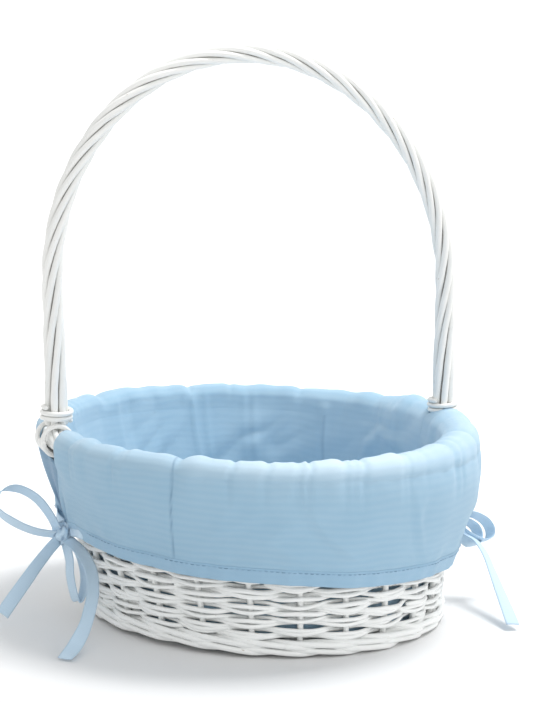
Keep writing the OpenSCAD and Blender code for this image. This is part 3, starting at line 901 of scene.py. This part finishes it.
def liner():
    """The cloth inside: a floor and a wall, sewn together."""
    angle = np.linspace(0, TAU, 401)[None, :-1]
    t = np.linspace(0, 0.97, 56)[:, None]
    grid = inside_cloth(angle + 0 * t, t + 0 * angle)
    grid[..., :2] *= 1 + 0.6 * ease(t, 0.91, 0.97)[..., None] * MM / BORDER_R
    uv = np.stack(np.broadcast_arrays(angle * SKIRT_R, t * INSIDE_LEN), axis=-1)
    shade = 0.5 * np.exp(-((angle - SEAM_INSIDE) / 0.006) ** 2) + 0 * t
    # The wall is painted paler on the right as painted light, and darker along its seam.
    piece = make_cloth("liner_wall_cloth", crept(grid[::-1]), uv[::-1], "basket", ["liner_wall"],
                       COTTON, CLOTH_T, closed=True, tone=shade[::-1],
                       painted_light=inside_painted_light(angle) + 0 * t)
    r = np.linspace(1.0, 0.002, 30)[:, None] * (LINER_FLOOR[1].x - 1.4 * MM)
    z = LINER_FLOOR[1].z + 0.5 * MM * ripple(angle + 0 * r, (3, 5, 8), 51) * ease(r, 0.02, 0.09)
    floor = crept(polar(angle, r, z))
    flat = np.stack([r * np.cos(angle), r * np.sin(angle)], axis=-1)
    piece = make_cloth("liner_floor_cloth", floor, flat, "basket", ["liner_base"], COTTON,
                       CLOTH_T, closed=True)


# --- bows ---

RIBBON_W = 7.8 * MM
RIBBON_T = 0.5 * MM


def make_ribbon(node, knots, across, width=RIBBON_W):
    """A flat ribbon through given points, with the direction of its width at each of them.

    It is cupped a little across its width, by the square of the distance from its middle. A tail
    rides a body of its own.
    """
    name = f"{node}_ribbon"
    steps = 9
    line = smooth_path(np.asarray(knots, float) * MM, steps)
    wide = unit(smooth_path(across, steps))
    along = unit(np.gradient(line, axis=0))
    face = unit(np.cross(along, wide))
    wide = np.cross(face, along)
    c = np.linspace(-1, 1, 9)
    length = np.concatenate([[0], np.cumsum(np.linalg.norm(np.diff(line, axis=0), axis=-1))])
    cup = 0.35 * MM * (c ** 2)[None, :, None] * face[:, None, :]
    grid = line[:, None, :] + (width / 2) * c[None, :, None] * wide[:, None, :] + cup
    uv = np.stack(np.broadcast_arrays((c * width / 2)[None, :], length[:, None]), axis=-1)
    edge = 0.12 * ease(np.abs(c), 0.8, 1.0)[None, :] + 0 * length[:, None]
    body = name if node.endswith("tail") else "basket"
    piece = make_cloth(name, grid, uv, body, [node], RIBBON, RIBBON_T, tone=edge)


def make_knot(word, place):
    """A tied knot: a squashed ball whose skin is wound with folds of ribbon."""
    q = np.linspace(0, TAU, 65)[None, :-1]
    p = np.linspace(0.02, math.pi - 0.02, 33)[:, None]
    fold = (1 + 0.15 * np.cos(3 * q + 4 * p) + 0.08 * np.cos(7 * q - 2 * p)
            + 0.05 * np.cos(11 * q + 5 * p))
    size = np.array([4.8, 5.8, 5.4]) * MM
    ball = polar(q, np.sin(p), np.cos(p))
    grid = ball * fold[..., None] * size + np.array(place) * MM
    uv = np.stack(np.broadcast_arrays(q * 5 * MM, p * 5 * MM), axis=-1)
    shade = 0.55 * ease(-(fold + 0 * ball[..., 0]), -0.96, -0.80)
    piece = make_cloth(f"{word}_knot_ribbon", grid, uv, "basket", [f"{word}_knot"], RIBBON,
                       0.4 * MM, closed=True, tone=shade)


def make_tie(side, word, where, end):
    """A short end of ribbon from the knot along the skirt, which dives into the cloth."""
    middle = math.pi if side == LEFT else 0.0
    turn = middle - side * where * np.radians([12.5, 10.5, 8.0, 5.0, 2.5])
    t = np.array([0.93, 0.93, 0.94, 0.95, 0.955])
    route = skirt_cloth(turn, t, np.array([-0.8, 1.2, 1.6, 2.0, 2.6]) * MM) / MM
    make_ribbon(f"{word}_tie_{end}", route, [(0, 0, 1)] * 5, width=7.5 * MM)


def bows():
    """Both bows. Each list is a route, and then the direction of the ribbon's width along it."""
    make_knot("left", (-111.5, -1.5, 47.5))
    make_knot("right", (121.5, -2, 48))
    for side, word in ((LEFT, "left"), (RIGHT, "right")):
        for where, end in ((-1, "front"), (1, "back")):
            make_tie(side, word, where, end)
    make_ribbon("left_outer_loop", [
        (-115, -3, 50), (-119, -1, 58), (-125, 0, 66), (-132, 1, 71), (-139, 1, 73), (-146, 1, 71),
        (-149, 0, 66), (-146, -1, 61), (-141, -2, 57), (-134, -3, 53), (-126, -4, 50), (-116, -4, 48)],
        [(0.2, -0.75, 0.65)] * 5 + [(0.3, -0.85, 0.3), (0.3, -0.9, 0), (0.3, -0.85, 0.3)]
        + [(0.1, -0.75, 0.65)] * 4)
    make_ribbon("left_hanging_loop", [
        (-110, -6, 43), (-109, -12, 35), (-109, -14, 27), (-108, -17, 19), (-106, -18, 13),
        (-103, -17, 18), (-102, -14, 27), (-104, -10, 37), (-108, -5, 43)],
        [(0.35, -0.9, 0.2)] * 9)
    make_ribbon("left_front_tail", [
        (-110, -8, 45), (-106, -17, 42), (-103.5, -26, 38), (-102.5, -35, 33), (-104, -45, 25),
        (-108, -54, 17), (-113, -63, 10), (-120, -73, 4), (-127, -83, 1.2)],
        [(0.75, 0.55, 0.3), (0.85, 0.5, 0.2), (0.9, 0.45, 0.1), (0.9, 0.42, -0.05), (0.88, 0.4, -0.2),
         (0.86, 0.3, -0.35), (0.85, 0.2, -0.45), (0.8, -0.4, -0.3), (0.75, -0.6, 0)])
    make_ribbon("left_outer_tail", [
        (-114, -4, 44), (-120, -7, 39), (-128, -11, 31), (-135, -14, 23), (-142, -17, 15),
        (-148, -20, 8)],
        [(-0.7, -0.46, 0.56), (-0.72, -0.4, 0.56), (-0.75, -0.25, 0.55), (-0.8, -0.1, 0.55),
         (-0.85, 0, 0.53), (-0.85, 0.04, 0.53)])
    make_ribbon("right_upper_loop", [
        (123, -4, 49), (129, -6, 50.5), (136, -8, 50), (143, -9, 46), (146, -11, 40.5), (144, -14, 36),
        (138, -16, 35), (130, -13, 38), (123, -6, 44)],
        [(0.4, -0.77, 0.47)] * 9)
    make_ribbon("right_lower_loop", [
        (123, -4, 48), (127, -7, 47), (132, -9, 46), (137, -9, 42), (138, -12, 37), (135, -16, 33),
        (130, -17, 34), (126, -12, 38), (122, -6, 43)],
        [(0.4, -0.77, 0.47)] * 9)
    make_ribbon("right_front_tail", [
        (124, -7, 44), (129, -12, 40), (133, -20, 37), (134, -31, 32), (133.5, -44, 24),
        (132.5, -56, 17), (131.5, -68, 10), (130, -80, 4)],
        [(-0.5, -0.86, 0.07)] * 3 + [(-0.55, -0.8, 0), (-0.65, -0.7, 0), (-0.75, -0.6, -0.05),
                                     (-0.85, -0.45, -0.1), (-0.9, -0.35, -0.15)])
    make_ribbon("right_back_tail", [
        (121, 12, 40), (124, 21, 35), (128, 33, 25), (130, 45, 13), (133, 56, 4)],
        [(0, 0.5, 0.8)] * 5)


# --- studio ---

def studio():
    """A pale floor that curves up behind, and soft lights."""
    x = np.linspace(-4, 4, 9)[None, :]
    u = np.linspace(0, 1, 60)[:, None]
    y = np.where(u < 0.5, -4 + u * 12, 2 + 2.2 * np.sin((u - 0.5) * math.pi))
    z = np.where(u < 0.5, 0.0, 2.2 * (1 - np.cos((u - 0.5) * math.pi)) + np.maximum(u - 0.97, 0) * 60)
    grid = np.stack(np.broadcast_arrays(x, y, z), axis=-1)
    i, j = np.meshgrid(np.arange(59), np.arange(8), indexing="ij")
    i, j = i.ravel(), j.ravel()
    faces = np.stack([i * 9 + j, i * 9 + j + 1, (i + 1) * 9 + j + 1, (i + 1) * 9 + j], 1)
    mesh = bpy.data.meshes.new("studio_floor")
    mesh.from_pydata(grid.reshape(-1, 3).tolist(), [], faces.tolist())
    mesh.polygons.foreach_set("use_smooth", [True] * len(mesh.polygons))
    material, tree, shader = new_material("pale floor")
    # Painted light: the floor's colour goes from grey near the front to almost white towards the back,
    # for the light falling off across it.
    place = new_node(tree, "ShaderNodeTexCoord").outputs["Object"]
    back = new_node(tree, "ShaderNodeSeparateXYZ", {0: place}).outputs[1]
    floor_painted_light = new_node(tree, "ShaderNodeMapRange",
                       {0: back, 1: -0.3, 2: 0.4, 3: 0.0, 4: 1.0}).outputs[0]
    tree.links.new(mixed(tree, floor_painted_light, (0.73, 0.73, 0.73, 1), (0.98, 0.98, 0.98, 1)),
                   shader.inputs["Base Color"])
    shader.inputs["Roughness"].default_value = 0.8
    mesh.materials.append(material)
    floor = bpy.data.objects.new("studio_floor", mesh)
    bpy.context.collection.objects.link(floor)

    world = bpy.data.worlds.new("studio world")
    world.use_nodes = True
    world.node_tree.nodes["Background"].inputs[0].default_value = (1.0, 1.0, 1.0, 1)
    world.node_tree.nodes["Background"].inputs[1].default_value = 0.76
    bpy.context.scene.world = world
    bpy.context.scene.view_settings.view_transform = "Standard"

    for name, place, size, power in (
            ("key", (0.55, 0.10, 1.5), 0.5, 17), ("side", (1.3, -1.2, 0.9), 1.0, 5),
            ("front", (-0.5, -1.7, 0.3), 1.2, 2.5), ("sweep", (0.0, 1.2, 2.4), 2.0, 60)):
        light = bpy.data.lights.new(name, "AREA")
        light.size = size
        light.energy = power
        lamp = bpy.data.objects.new(name, light)
        lamp.location = place
        aim = Vector((0, 0, 0.1)) if name != "sweep" else Vector((0, 3.5, 1.2))
        lamp.rotation_euler = (aim - Vector(place)).to_track_quat("-Z", "Y").to_euler()
        bpy.context.collection.objects.link(lamp)


def camera():
    """The camera stands in front and to the left, a little above the rim, rolled slightly."""
    azimuth, elevation, roll = math.radians(-18.4), math.radians(13.25), 0.037
    distance, target = 1.050, Vector((0, 0, 0.060))
    away = Vector((math.sin(azimuth) * math.cos(elevation), -math.cos(azimuth) * math.cos(elevation),
                   math.sin(elevation)))
    right = Vector((math.cos(azimuth), math.sin(azimuth), 0))
    up = away.cross(right)
    cos, sin = math.cos(roll), math.sin(roll)
    right, up = right * cos + up * sin, up * cos - right * sin
    lens = bpy.data.cameras.new("camera")
    lens.sensor_fit = "AUTO"
    lens.sensor_width = 36
    lens.lens = 93.9
    lens.shift_x = 0.0200
    lens.shift_y = 0.2165
    lens.clip_end = 30
    view = bpy.data.objects.new("camera", lens)
    view.matrix_world = Matrix.Translation(target + away * distance) @ Matrix(
        (right, up, away)).transposed().to_4x4()
    bpy.context.collection.objects.link(view)
    bpy.context.scene.camera = view


camera()
studio()
side_stakes()
weave_rows("lower_weave_rods", "lower_weave", 11.5 * MM, LOWER_TOP, 3.7 * MM, WEAVE_PITCH,
           WEAVER_R, 201)
weave_rows("upper_weave_rods", "upper_weave", LOWER_TOP + 3 * MM, WEAVE_Z1, WEAVE_PITCH,
           WEAVE_PITCH, WEAVER_R, 202)
wale("foot_wale_rods", "foot_wale", 3.2 * MM, 2, 1.7 * MM, 3.6 * MM,
     lambda z: wall_middle(z) + 1.2 * MM, 203, flat_floor=0.0)
wale("top_wale_rods", "top_wale", WEAVE_Z1 + 2.5 * MM, 3, 1.6 * MM, 3.2 * MM, wall_middle, 204)
rolled_border()
base()
handle()
handle_feet()
liner()
skirt("front", -math.pi / 2 + TAU)
skirt("back", math.pi / 2)
bows()
